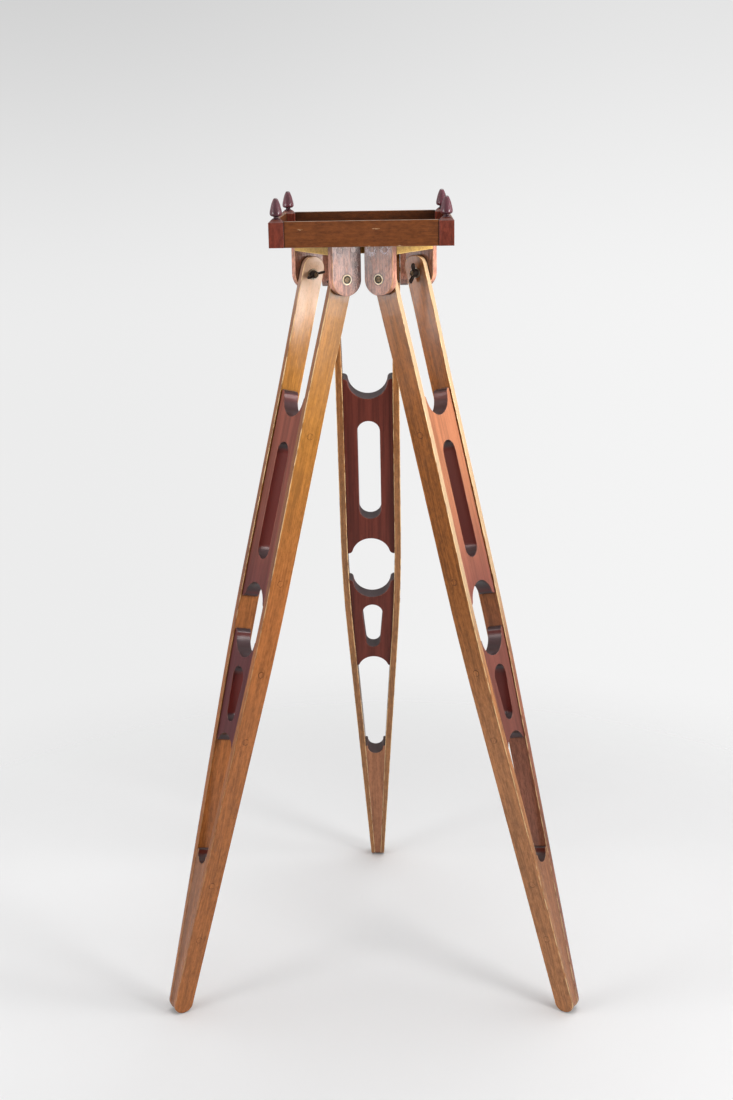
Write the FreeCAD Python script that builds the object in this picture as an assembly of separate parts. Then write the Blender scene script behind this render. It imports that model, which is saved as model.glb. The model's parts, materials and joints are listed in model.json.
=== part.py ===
import FreeCAD, Part
import math
import os

# Surveyor tripod: three wooden legs hinged under a three-armed head block that carries a square
# gallery tray. Each leg is two bent side rails held apart by an upper web, a lower web and a foot
# block. Millimetres, +Z up. The origin is the centre of the tray floor's top face, on the axis
# that the three legs share. The rear leg points along +Y.

V = FreeCAD.Vector
X_AXIS = V(1, 0, 0)
Y_AXIS = V(0, 1, 0)
Z_AXIS = V(0, 0, 1)

# Tray
TRAY_SIDE = 305.0           # over the corner posts
FLOOR_THICK = 8.0
GALLERY_HEIGHT = 42.4
GALLERY_THICK = 9.5
GALLERY_SET_BACK = 1.0      # the posts stand proud of the gallery by this
POST_SIDE = 25.0
POST_HEIGHT = 45.5
POST_CHAMFER = 5.0
TENON_LENGTH = 6.0
TENON_THICK = 5.0
TENON_SHOULDER = 5.0
FLOOR_GAP = 0.3

# Finial, above the post top
FINIAL_HEIGHT = 34.35
FINIAL_RADIUS = 10.2
FINIAL_FOOT_RADIUS = 6.9
FINIAL_FOOT_HEIGHT = 1.4
FINIAL_NECK_RADIUS = 4.0
FINIAL_NECK_HEIGHT = 3.6    # its narrowest place, above the post
FINIAL_CUP = (5.6, 5.0)     # radius and height where the acorn starts
FINIAL_RIM_HEIGHT = 10.0    # its widest place
FINIAL_BODY = ((9.6, 14.5), (8.4, 19.7), (6.9, 25.2), (4.7, 30.7))   # radius, height
FINIAL_PEG_RADIUS = 3.5
FINIAL_PEG_LENGTH = 12.0

# Head block and cheeks
ARM_WIDTH = 126.0
ARM_REACH = 103.0
HEAD_THICK = 16.6
CHEEK_THICK = 14.2
CHEEK_WIDTH = 55.4
PIVOT_RADIAL = 75.3         # pivot axis from the tripod's axis
PIVOT_DROP = 57.6           # pivot axis below the underside of the tray

# Leg, measured along its own length from the pivot
SPLAY = 14.46               # degrees from the vertical
LEG_LENGTH = 1375.7
RAIL_RISE = 31.0            # the rail's round top reaches this far above the pivot
RAIL_THICK = 12.7
RAIL_FOOT_THICK = 8.0
RAIL_HALF_DEPTH_TOP = 20.0
RAIL_HALF_DEPTH_FOOT = 18.0
RAIL_CLEARANCE = 0.3        # to the cheek
BELLY_HALF_WIDTH = 59.6     # over the rails where they run parallel
FOOT_HALF_WIDTH = 13.4
STRAIGHT_END = 50.0         # the rail leaves the cheek here
BELLY_START = 175.0
BELLY_END = 650.0
THIN_START = 1054.0         # below this the rails thin down to the foot
BEND_BLENDS = (14.0, 50.0, 110.0)   # half lengths of the arcs at the three bends
THIN_BLEND = 40.0
RAIL_EDGE = 1.5             # rounding of the rails' edges

# Webs
WEB_OUTER = 16.0            # outer face, from the leg's middle plane
WEB_INNER = -13.0
UPPER_WEB = (207.5, 585.0)
UPPER_SCALLOPS = (40.7, 34.5)
UPPER_SLOT = (294.5, 505.5)
UPPER_SLOT_WIDTHS = (43.0, 43.0)
LOWER_WEB = (646.5, 855.0)
LOWER_SCALLOPS = (40.5, 22.0)
LOWER_SLOT = (706.0, 808.5)
LOWER_SLOT_WIDTHS = (41.0, 29.0)
UPPER_LIPS = (8.0, 9.0)     # radii of the rounded lips at the scallops' tips
LOWER_LIPS = (8.0, 3.0)
FOOT_BLOCK_TOP = 1062.0
FOOT_SCALLOP = 20.0
FOOT_LIP = 3.0
FOOT_SET_BACK = 1.0
LIP_FLAT = 1.5              # flat end of each scallop beside the rail
RAIL_MARGIN = 3.0           # web edges this near a rail are left square

# Fasteners
PIVOT_SCREW_RADIUS = 4.0
RUNNING_GAP = 0.06
CUP_RADIUS = 9.0
CUP_DEPTH = 3.0
CUP_PROUD = 1.2
CUP_WALL = 2.8
CUP_FLOOR = 1.0
CUP_DOME = 0.8              # height of the rounded rim over its edges
PIVOT_HEAD_RADIUS = 5.8
PIVOT_HEAD_SUNK = 0.5       # below the cup's rim
PIVOT_SLOT_WIDTH = 1.5
PIVOT_SLOT_DEPTH = 1.1
PIVOT_SLOT_TURN = 38.0
WASHER_RADIUS = 9.0
WASHER_THICK = 1.6
NUT_HEIGHT = 10.0
NUT_BASE_RADIUS = 7.0
NUT_FLANGE = 2.0
NUT_TOP_RADIUS = 5.7
NUT_TOP_BEVEL = 1.0
WING_REACH = 13.0
WING_RISE = 1.0             # lobes' centres above the nut's top
WING_ROOT = 1.2             # how far the wings run into the hub
WING_MARGIN = 1.5           # between the wings' roots and the hub's ends
WING_LOBE_RADIUS = 4.8
WING_THICK = 3.2
SCREW_END_PROUD = 2.5
PLUG_RADIUS = 5.0
PLUG_THICK = 3.0
PLUG_PROUD = 0.25
PLUG_BEVEL = 0.2
WOOD_SCREW_RADIUS = 2.1
WOOD_SCREW_HEAD_RADIUS = 4.2
WOOD_SCREW_HEAD_THICK = 2.4
RAIL_SCREW_STATIONS = (273.0, 536.0, 704.0, 832.0, 1115.0, 1225.0)
RAIL_SCREW_BITE = 26.0
MIDDLE_GAP = 2.5            # screws stop this far short of the leg's middle
SCREW_SHARE = 0.75          # and take no more than this share of the room up to it
CHEEK_PLUG_SPACING = 26.0
CHEEK_PLUG_DROP = 8.3
CHEEK_SCREW_BITE = 28.0
TRAY_SCREW_RADII = (48.0, 90.0)
TRAY_SCREW_BITE = 5.5
TRAY_SLOT_WIDTH = 1.0
TRAY_SLOT_DEPTH = 0.9

EDGE = 1.2                  # softened long edges
SOFT = 0.7
SHARP_TURN = 25.0           # degrees between faces from which their edge is softened

# Blanks and cutters run past the wood by these.
REACH_X = 80.0
REACH_Y = 30.0
OVERRUN = 5.0
CLEAR = 1.0
TOUCH = 0.01                # how near a point has to be to count as on a face

TRAY_BOTTOM = -FLOOR_THICK
HEAD_BOTTOM = TRAY_BOTTOM - HEAD_THICK
PIVOT_Z = TRAY_BOTTOM - PIVOT_DROP
CHEEK_INNER = ARM_WIDTH / 2
CHEEK_OUTER = CHEEK_INNER + CHEEK_THICK
RAIL_TOP_OUTER = CHEEK_INNER - RAIL_CLEARANCE
NUT_BASE = RAIL_TOP_OUTER - RAIL_THICK - RAIL_CLEARANCE - WASHER_THICK - 2 * RUNNING_GAP

# Each leg: its turn about Z from the rear leg, and what its two sides are called.
LEGS = {
    "rear": (0.0, {1: "right", -1: "left"}),
    "left": (120.0, {1: "back", -1: "front"}),
    "right": (240.0, {1: "front", -1: "back"}),
}

# How far each wing nut is turned from its wings standing upright.
NUT_TURNS = {
    "rear_right": 30.0,
    "rear_left": -20.0,
    "left_back": 106.0,
    "left_front": 70.0,
    "right_front": -60.0,
    "right_back": -9.0,
}


def export(name, shape):
    shape.exportStep("parts/" + name + ".step")


def turned(shape, degrees, axis=Z_AXIS, centre=V(0, 0, 0)):
    copy = shape.copy()
    copy.rotate(centre, axis, degrees)
    return copy


def moved(shape, x, y, z):
    copy = shape.copy()
    copy.translate(V(x, y, z))
    return copy


def mirrored_x(shape):
    return shape.mirror(V(0, 0, 0), X_AXIS)


def box(low, high):
    return Part.makeBox(high[0] - low[0], high[1] - low[1], high[2] - low[2], V(*low))


def rod(radius, start, direction, length):
    return Part.makeCylinder(radius, length, start, direction)


def one_solid(shape):
    return shape.removeSplitter().Solids[0]


def group(shapes):
    return Part.makeCompound(shapes)


def polygon(points):
    closed = list(points) + [points[0]]
    return Part.Wire([Part.makeLine(a, b) for a, b in zip(closed, closed[1:])])


def arc(start, middle, end):
    return Part.Arc(start, middle, end).toShape()


def is_sharp(shape, edge):
    faces = shape.ancestorsOfType(edge, Part.Face)
    if len(faces) != 2:
        return False
    point = edge.valueAt((edge.FirstParameter + edge.LastParameter) / 2)
    normals = [f.normalAt(*f.Surface.parameter(point)) for f in faces]
    return normals[0].getAngle(normals[1]) > math.radians(SHARP_TURN)


def soften(shape, size, wanted, round_over=False):
    """Chamfer or round the sharp edges whose middle point passes the test."""
    edges = []
    for edge in shape.Edges:
        middle = edge.valueAt((edge.FirstParameter + edge.LastParameter) / 2)
        if is_sharp(shape, edge) and wanted(middle):
            edges.append(edge)
    if round_over:
        return shape.makeFillet(size, edges)
    return shape.makeChamfer(size, edges)


def offset_corners(corners, thickness):
    """Corners of the line that runs a constant thickness inside a bent line of (s, w) corners."""
    lines = []
    for (s1, w1), (s2, w2) in zip(corners, corners[1:]):
        slope = (w2 - w1) / (s2 - s1)
        drop = thickness * math.hypot(1.0, slope)
        lines.append((slope, w1 - slope * s1 - drop))
    stations = [corners[0][0]]
    for (slope_a, base_a), (slope_b, base_b) in zip(lines, lines[1:]):
        stations.append((base_b - base_a) / (slope_a - slope_b))
    stations.append(corners[-1][0])
    slopes_and_bases = [lines[0]] + lines
    return [(s, slope * s + base) for s, (slope, base) in zip(stations, slopes_and_bases)]


def bent_line(corners, blends):
    """Edges of a line through (s, w) corners in the leg's XZ plane, each inner corner an arc."""
    points = [V(w, 0, -s) for s, w in corners]
    edges = []
    start = points[0]
    for before, corner, after, blend in zip(points, points[1:], points[2:], blends):
        into = (corner - before).normalize()
        out = (after - corner).normalize()
        turn = into.getAngle(out)
        first = corner - into * blend
        last = corner + out * blend
        towards_centre = (out - into).normalize()
        radius = blend / math.tan(turn / 2)
        centre = corner + towards_centre * (radius / math.cos(turn / 2))
        middle = centre - towards_centre * radius
        edges.append(Part.makeLine(start, first))
        edges.append(arc(first, middle, last))
        start = last
    edges.append(Part.makeLine(start, points[-1]))
    return edges


OUTER_CORNERS = [
    (-RAIL_RISE - OVERRUN, RAIL_TOP_OUTER),
    (STRAIGHT_END, RAIL_TOP_OUTER),
    (BELLY_START, BELLY_HALF_WIDTH),
    (BELLY_END, BELLY_HALF_WIDTH),
    (LEG_LENGTH + OVERRUN, FOOT_HALF_WIDTH),
]
FOOT_SLOPE = (BELLY_HALF_WIDTH - FOOT_HALF_WIDTH) / (LEG_LENGTH + OVERRUN - BELLY_END)


def outer_width(s):
    """Half width over the rails at station s on the straight taper or in the parallel belly."""
    return BELLY_HALF_WIDTH - max(0.0, s - BELLY_END) * FOOT_SLOPE


def inner_corners():
    corners = offset_corners(OUTER_CORNERS, RAIL_THICK)
    thin_w = outer_width(THIN_START) - RAIL_THICK
    foot_w = FOOT_HALF_WIDTH - RAIL_FOOT_THICK
    return corners[:-1] + [(THIN_START, thin_w), (LEG_LENGTH + OVERRUN, foot_w)]


def outer_line():
    return bent_line(OUTER_CORNERS, BEND_BLENDS)


def inner_line():
    return bent_line(inner_corners(), BEND_BLENDS + (THIN_BLEND,))


def depth_profile(set_back=0.0):
    """Side view of a rail, in the YZ plane: a long bar with a round end above and below."""
    top_r = RAIL_HALF_DEPTH_TOP - set_back
    foot_r = RAIL_HALF_DEPTH_FOOT - set_back
    top_z = RAIL_RISE - RAIL_HALF_DEPTH_TOP
    foot_z = -(LEG_LENGTH - RAIL_HALF_DEPTH_FOOT)
    lean = math.asin((top_r - foot_r) / (top_z - foot_z))
    out_y = math.cos(lean)
    out_z = math.sin(lean)
    top_pair = [V(0, side * top_r * out_y, top_z + top_r * out_z) for side in (1, -1)]
    foot_pair = [V(0, side * foot_r * out_y, foot_z + foot_r * out_z) for side in (1, -1)]
    return [
        arc(top_pair[0], V(0, 0, top_z + top_r), top_pair[1]),
        Part.makeLine(top_pair[1], foot_pair[1]),
        arc(foot_pair[1], V(0, 0, foot_z - foot_r), foot_pair[0]),
        Part.makeLine(foot_pair[0], top_pair[0]),
    ]


def depth_solid(set_back=0.0):
    face = Part.Face(Part.Wire(depth_profile(set_back)))
    face.translate(V(-REACH_X, 0, 0))
    return face.extrude(V(2 * REACH_X, 0, 0))


def rail_blank():
    outer = outer_line()
    inner = inner_line()
    top = Part.makeLine(outer[0].Vertexes[0].Point, inner[0].Vertexes[0].Point)
    foot = Part.makeLine(outer[-1].Vertexes[-1].Point, inner[-1].Vertexes[-1].Point)
    edges = outer + inner + [top, foot]
    plan = Part.Face(Part.Wire(Part.__sortEdges__(edges)))
    plan.translate(V(0, -REACH_Y, 0))
    return plan.extrude(V(0, 2 * REACH_Y, 0)).common(depth_solid()).Solids[0]


def core_between_rails():
    """The space between the two inner lines, as one long solid."""
    right = inner_line()
    left = [mirrored_x(e) for e in right]
    top_z = right[0].Vertexes[0].Z
    foot_z = -inner_corners()[-1][0]
    top_w = inner_corners()[0][1]
    foot_w = inner_corners()[-1][1]
    ends = [
        Part.makeLine(V(-top_w, 0, top_z), V(top_w, 0, top_z)),
        Part.makeLine(V(-foot_w, 0, foot_z), V(foot_w, 0, foot_z)),
    ]
    plan = Part.Face(Part.Wire(Part.__sortEdges__(right + left + ends)))
    plan.translate(V(0, -REACH_Y, 0))
    return plan.extrude(V(0, 2 * REACH_Y, 0))


def rail_screw_frames():
    """Place and inward direction of each rail screw on the +X rail's outer face."""
    frames = []
    for s in RAIL_SCREW_STATIONS:
        slope = FOOT_SLOPE if s > BELLY_END else 0.0
        inward = V(-1, 0, slope).normalize()
        frames.append((V(outer_width(s), 0, -s), inward, s))
    return frames


def screw_bite(s):
    """Length of screw beyond the rail, short enough to stay on its own side of the leg."""
    thick = RAIL_THICK
    if s > THIN_START:
        share = (s - THIN_START) / (LEG_LENGTH - THIN_START)
        thick -= share * (RAIL_THICK - RAIL_FOOT_THICK)
    room = outer_width(s) - thick - MIDDLE_GAP
    return min(RAIL_SCREW_BITE, room * SCREW_SHARE), thick


def wood_screw(start, direction, length):
    head = rod(WOOD_SCREW_HEAD_RADIUS, start, direction, WOOD_SCREW_HEAD_THICK)
    return one_solid(head.fuse(rod(WOOD_SCREW_RADIUS, start, direction, length)))


def wooden_plug(place, inward):
    """Round plug over a screw head, its bevelled face a little proud of the surface at place."""
    plug = rod(PLUG_RADIUS, place - inward * PLUG_PROUD, inward, PLUG_THICK + PLUG_PROUD)
    depths = [(e.CenterOfMass - place).dot(inward) for e in plug.Edges]
    crown = [e for e, depth in zip(plug.Edges, depths) if abs(depth + PLUG_PROUD) < TOUCH]
    return plug.makeChamfer(PLUG_BEVEL, crown[:1])


def plugged_hole(place, inward, length):
    """Cutter for a wood screw with a plug over its head, going in from the surface at place."""
    outside = place - inward * CLEAR
    head_reach = CLEAR + PLUG_THICK + WOOD_SCREW_HEAD_THICK
    plug = rod(PLUG_RADIUS, outside, inward, CLEAR + PLUG_THICK)
    head = rod(WOOD_SCREW_HEAD_RADIUS, outside, inward, head_reach)
    return plug.fuse([head, rod(WOOD_SCREW_RADIUS, outside, inward, CLEAR + length)])


def rail_screw(place, inward, s):
    bite, thick = screw_bite(s)
    return wood_screw(place + inward * PLUG_THICK, inward, thick - PLUG_THICK + bite)


def rail(blank):
    """One side rail, on the +X side, with its pivot hole and plugged screw holes."""
    body = soften(blank, RAIL_EDGE, lambda p: True, True)
    body = body.cut(rod(PIVOT_SCREW_RADIUS + RUNNING_GAP, V(0, 0, 0), X_AXIS, REACH_X))
    for place, inward, s in rail_screw_frames():
        body = body.cut(plugged_hole(place, inward, RAIL_THICK + CLEAR))
    return one_solid(body)


def scallop_cutter(tip_s, depth, half_gap, lip, points_down):
    """Cutter for a scallop in a web's end: a round hollow with a small rounded lip at each rail.

    The lip starts level with the tip station and runs smoothly into the hollow. points_down is
    True for a hollow in the web's upper end.
    """
    sign = 1.0 if points_down else -1.0
    lip_w = half_gap - LIP_FLAT
    radius = (lip_w ** 2 + depth ** 2) / (2 * depth) - lip
    lip_centre = (lip_w, tip_s + sign * lip)
    bowl_centre = (0.0, tip_s + sign * (depth - radius))
    share = radius / (radius + lip)
    meet_w = lip_centre[0] * share
    meet_s = bowl_centre[1] + (lip_centre[1] - bowl_centre[1]) * share
    to_meet = math.atan2(meet_s - lip_centre[1], meet_w - lip_centre[0])
    to_top = math.atan2(-sign, 0.0)
    half_turn = (to_meet - to_top + math.pi) % (2 * math.pi) - math.pi
    lip_angle = to_top + half_turn / 2
    lip_mid = (lip_centre[0] + lip * math.cos(lip_angle), lip_centre[1] + lip * math.sin(lip_angle))

    def at(w, s):
        return V(w, -REACH_Y, -s)

    far_s = tip_s - sign * REACH_X
    reach = half_gap + REACH_Y
    edges = [
        Part.makeLine(at(-reach, far_s), at(reach, far_s)),
        Part.makeLine(at(reach, far_s), at(reach, tip_s)),
        Part.makeLine(at(reach, tip_s), at(lip_w, tip_s)),
        arc(at(lip_w, tip_s), at(*lip_mid), at(meet_w, meet_s)),
        arc(at(meet_w, meet_s), at(0, tip_s + sign * depth), at(-meet_w, meet_s)),
        arc(at(-meet_w, meet_s), at(-lip_mid[0], lip_mid[1]), at(-lip_w, tip_s)),
        Part.makeLine(at(-lip_w, tip_s), at(-reach, tip_s)),
        Part.makeLine(at(-reach, tip_s), at(-reach, far_s)),
    ]
    return Part.Face(Part.Wire(edges)).extrude(V(0, 2 * REACH_Y, 0))


def slot_cutter(top_s, bottom_s, top_width, bottom_width):
    """Cutter for a slot with round ends, which may narrow towards the foot."""
    top_r = top_width / 2
    low_r = bottom_width / 2
    top_centre = top_s + top_r
    low_centre = bottom_s - low_r
    lean = math.asin((top_r - low_r) / (low_centre - top_centre))
    out_w = math.cos(lean)
    out_s = math.sin(lean)

    def at(w, s):
        return V(w, -REACH_Y, -s)

    top_w = top_r * out_w
    top_at = top_centre + top_r * out_s
    low_w = low_r * out_w
    low_at = low_centre + low_r * out_s
    edges = [
        arc(at(-top_w, top_at), at(0, top_s), at(top_w, top_at)),
        Part.makeLine(at(top_w, top_at), at(low_w, low_at)),
        arc(at(low_w, low_at), at(0, bottom_s), at(-low_w, low_at)),
        Part.makeLine(at(-low_w, low_at), at(-top_w, top_at)),
    ]
    return Part.Face(Part.Wire(edges)).extrude(V(0, 2 * REACH_Y, 0))


def inner_width(s):
    """Half width between the rails at station s below the cheeks."""
    return outer_width(s) - RAIL_THICK


def is_on_web_face(point):
    return min(abs(point.y - WEB_OUTER), abs(point.y - WEB_INNER)) < TOUCH


def web(core, span, scallops, slot, slot_widths, lips):
    blank = box((-REACH_X, WEB_INNER, -span[1]), (REACH_X, WEB_OUTER, -span[0]))
    body = core.common(blank).Solids[0]
    body = body.cut(scallop_cutter(span[0], scallops[0], inner_width(span[0]), lips[0], True))
    body = body.cut(scallop_cutter(span[1], scallops[1], inner_width(span[1]), lips[1], False))
    body = body.cut(slot_cutter(slot[0], slot[1], *slot_widths))
    body = one_solid(body)

    def on_cut_edge(p):
        return abs(p.x) < inner_width(-p.z) - RAIL_MARGIN and is_on_web_face(p)

    return soften(body, EDGE, on_cut_edge, True)


def foot_block(core):
    low = (-REACH_X, -REACH_Y, -LEG_LENGTH - OVERRUN)
    blank = box(low, (REACH_X, REACH_Y, -FOOT_BLOCK_TOP))
    body = core.common(blank).common(depth_solid(FOOT_SET_BACK)).Solids[0]
    half_gap = inner_width(FOOT_BLOCK_TOP)
    body = body.cut(scallop_cutter(FOOT_BLOCK_TOP, FOOT_SCALLOP, half_gap, FOOT_LIP, True))
    body = one_solid(body)
    lowest = -FOOT_BLOCK_TOP - FOOT_SCALLOP - CLEAR

    def on_scallop(p):
        off_middle = abs(p.y) > RAIL_HALF_DEPTH_FOOT / 2
        return p.z > lowest and abs(p.x) < half_gap - RAIL_MARGIN and off_middle

    return soften(body, EDGE, on_scallop, True)


def drill_for_rail_screws(body, span):
    for place, inward, s in rail_screw_frames():
        if not span[0] < s < span[1]:
            continue
        bite, thick = screw_bite(s)
        hole = rod(WOOD_SCREW_RADIUS, place, inward, thick + bite)
        body = body.cut(hole).cut(mirrored_x(hole))
    return one_solid(body)


def leg_to_row(shape, turn):
    """From the leg's own frame (X the pivot axis, Y outward, Z up the leg) to the row frame."""
    splayed = turned(shape, SPLAY, X_AXIS)
    return turned(moved(splayed, 0, PIVOT_RADIAL, PIVOT_Z), turn)


def build_legs():
    core = core_between_rails()
    right_rail = rail(rail_blank())
    upper = web(core, UPPER_WEB, UPPER_SCALLOPS, UPPER_SLOT, UPPER_SLOT_WIDTHS, UPPER_LIPS)
    lower = web(core, LOWER_WEB, LOWER_SCALLOPS, LOWER_SLOT, LOWER_SLOT_WIDTHS, LOWER_LIPS)
    upper = drill_for_rail_screws(upper, UPPER_WEB)
    lower = drill_for_rail_screws(lower, LOWER_WEB)
    foot = drill_for_rail_screws(foot_block(core), (FOOT_BLOCK_TOP, LEG_LENGTH))
    frames = rail_screw_frames()
    screws = [rail_screw(*frame) for frame in frames]
    plugs = [wooden_plug(place, inward) for place, inward, s in frames]
    screws += [mirrored_x(screw) for screw in screws]
    plugs += [mirrored_x(plug) for plug in plugs]
    for leg, (turn, sides) in LEGS.items():
        prefix = leg + "_leg_"
        export(prefix + sides[1] + "_rail", leg_to_row(right_rail, turn))
        export(prefix + sides[-1] + "_rail", leg_to_row(mirrored_x(right_rail), turn))
        export(prefix + "upper_web", leg_to_row(upper, turn))
        export(prefix + "lower_web", leg_to_row(lower, turn))
        export(prefix + "foot_block", leg_to_row(foot, turn))
        export(prefix + "rail_screws", leg_to_row(group(screws), turn))
        export(prefix + "rail_plugs", leg_to_row(group(plugs), turn))


def cheek_screw_places():
    """Places of the two plugged screws on the +X cheek's outer face, in the head's rear arm."""
    z = TRAY_BOTTOM - CHEEK_PLUG_DROP
    half = CHEEK_PLUG_SPACING / 2
    return [V(CHEEK_OUTER, PIVOT_RADIAL - half, z), V(CHEEK_OUTER, PIVOT_RADIAL + half, z)]


def head_block():
    arm = box((-ARM_WIDTH / 2, 0, HEAD_BOTTOM), (ARM_WIDTH / 2, ARM_REACH, TRAY_BOTTOM))
    turns = [turn for turn, _ in LEGS.values()]
    body = one_solid(arm.fuse([turned(arm, turn) for turn in turns[1:]]))

    def on_arm_end(p):
        reaches = [FreeCAD.Rotation(Z_AXIS, -turn).multVec(p).y for turn in turns]
        return abs(max(reaches) - ARM_REACH) < TOUCH and abs(p.z - HEAD_BOTTOM) < TOUCH

    body = soften(body, EDGE, on_arm_end)
    holes = []
    for turn in turns:
        for radius in TRAY_SCREW_RADII:
            holes.append(turned(tray_screw_blank(radius), turn))
        for place in cheek_screw_places():
            hole = rod(WOOD_SCREW_RADIUS, place, -X_AXIS, CHEEK_THICK + CHEEK_SCREW_BITE)
            holes.append(turned(hole, turn))
            holes.append(turned(mirrored_x(hole), turn))
    return one_solid(body.cut(holes))


def tray_screw_blank(radius):
    """A screw driven up through the head block into the tray floor, before its slot is cut."""
    length = HEAD_THICK + TRAY_SCREW_BITE
    return wood_screw(V(0, radius, HEAD_BOTTOM), Z_AXIS, length)


def tray_screw(radius):
    half = TRAY_SLOT_WIDTH / 2
    reach = WOOD_SCREW_HEAD_RADIUS + CLEAR
    low = (-reach, radius - half, HEAD_BOTTOM - CLEAR)
    slot = box(low, (reach, radius + half, HEAD_BOTTOM + TRAY_SLOT_DEPTH))
    return one_solid(tray_screw_blank(radius).cut(slot))


def cheek():
    """One cheek on the +X side of the rear arm: a plate with a round lower end."""
    half = CHEEK_WIDTH / 2

    def at(y, z):
        return V(CHEEK_INNER, PIVOT_RADIAL + y, z)

    edges = [
        Part.makeLine(at(-half, PIVOT_Z), at(-half, TRAY_BOTTOM)),
        Part.makeLine(at(-half, TRAY_BOTTOM), at(half, TRAY_BOTTOM)),
        Part.makeLine(at(half, TRAY_BOTTOM), at(half, PIVOT_Z)),
        arc(at(half, PIVOT_Z), at(0, PIVOT_Z - half), at(-half, PIVOT_Z)),
    ]
    body = Part.Face(Part.Wire(edges)).extrude(V(CHEEK_THICK, 0, 0))

    def on_outline(p):
        off_faces = min(abs(p.x - CHEEK_OUTER), abs(p.x - CHEEK_INNER))
        return p.z < TRAY_BOTTOM - CLEAR / 2 and off_faces < TOUCH

    body = soften(body, EDGE, on_outline, True)
    outside = V(CHEEK_OUTER + CLEAR, PIVOT_RADIAL, PIVOT_Z)
    through = CHEEK_THICK + 2 * CLEAR
    body = body.cut(rod(CUP_RADIUS, outside, -X_AXIS, CLEAR + CUP_DEPTH))
    body = body.cut(rod(PIVOT_SCREW_RADIUS + RUNNING_GAP, outside, -X_AXIS, through))
    for place in cheek_screw_places():
        body = body.cut(plugged_hole(place, -X_AXIS, CHEEK_THICK + CLEAR))
    return one_solid(body)


def cheek_screw(place):
    length = CHEEK_THICK - PLUG_THICK + CHEEK_SCREW_BITE
    return wood_screw(place - X_AXIS * PLUG_THICK, -X_AXIS, length)


def around_x_point(x, radius):
    return V(x, PIVOT_RADIAL + radius, PIVOT_Z)


def revolved_about_pivot(outline):
    """Revolve a closed outline about the +X side's pivot axis."""
    return Part.Face(outline).revolve(V(0, PIVOT_RADIAL, PIVOT_Z), X_AXIS, 360)


def around_x(profile):
    """Revolve a closed (x, radius) polygon about the +X side's pivot axis."""
    return revolved_about_pivot(polygon([around_x_point(x, radius) for x, radius in profile]))


def cup_washer():
    """Brass cup let into the cheek, with a rolled rim round the screw head."""
    base = CHEEK_OUTER - CUP_DEPTH
    rim = CHEEK_OUTER + CUP_PROUD
    bore = PIVOT_SCREW_RADIUS + RUNNING_GAP
    inside = CUP_RADIUS - CUP_WALL
    dome_start = around_x_point(rim - CUP_DOME, inside)
    dome_end = around_x_point(rim - CUP_DOME, CUP_RADIUS)
    corners = [
        dome_end,
        around_x_point(base, CUP_RADIUS),
        around_x_point(base, bore),
        around_x_point(base + CUP_FLOOR, bore),
        around_x_point(base + CUP_FLOOR, inside),
        dome_start,
    ]
    edges = [Part.makeLine(a, b) for a, b in zip(corners, corners[1:])]
    edges.append(arc(dome_start, around_x_point(rim, CUP_RADIUS - CUP_WALL / 2), dome_end))
    return revolved_about_pivot(Part.Wire(edges)).Solids[0]


def pivot_screw():
    """Slotted screw through the cup, cheek and rail; its end carries the wing nut."""
    seat = CHEEK_OUTER - CUP_DEPTH + CUP_FLOOR
    top = CHEEK_OUTER + CUP_PROUD - PIVOT_HEAD_SUNK
    end = NUT_BASE - NUT_HEIGHT - SCREW_END_PROUD
    profile = [
        (end, 0.0),
        (end, PIVOT_SCREW_RADIUS - SOFT),
        (end + SOFT, PIVOT_SCREW_RADIUS),
        (seat, PIVOT_SCREW_RADIUS),
        (seat, PIVOT_HEAD_RADIUS),
        (top - SOFT, PIVOT_HEAD_RADIUS),
        (top, PIVOT_HEAD_RADIUS - SOFT),
        (top, 0.0),
    ]
    screw = around_x(profile)
    half = PIVOT_SLOT_WIDTH / 2
    reach = PIVOT_HEAD_RADIUS + CLEAR
    low = (top - PIVOT_SLOT_DEPTH, PIVOT_RADIAL - reach, PIVOT_Z - half)
    slot = box(low, (top + CLEAR, PIVOT_RADIAL + reach, PIVOT_Z + half))
    slot = turned(slot, PIVOT_SLOT_TURN, X_AXIS, V(0, PIVOT_RADIAL, PIVOT_Z))
    return one_solid(screw.cut(slot))


def pivot_washer():
    base = NUT_BASE + RUNNING_GAP
    centre = V(base, PIVOT_RADIAL, PIVOT_Z)
    ring = rod(WASHER_RADIUS, centre, X_AXIS, WASHER_THICK)
    return ring.cut(rod(PIVOT_SCREW_RADIUS + RUNNING_GAP, centre, X_AXIS, WASHER_THICK)).Solids[0]


def tangent_point(point, centre, radius, side):
    """Where the line from a point touches a circle, on the side asked for (1 or -1)."""
    dx = point[0] - centre[0]
    dz = point[1] - centre[1]
    towards = math.atan2(dz, dx)
    swing = math.acos(radius / math.hypot(dx, dz))
    turn = towards + side * swing
    return centre[0] + radius * math.cos(turn), centre[1] + radius * math.sin(turn)


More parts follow.
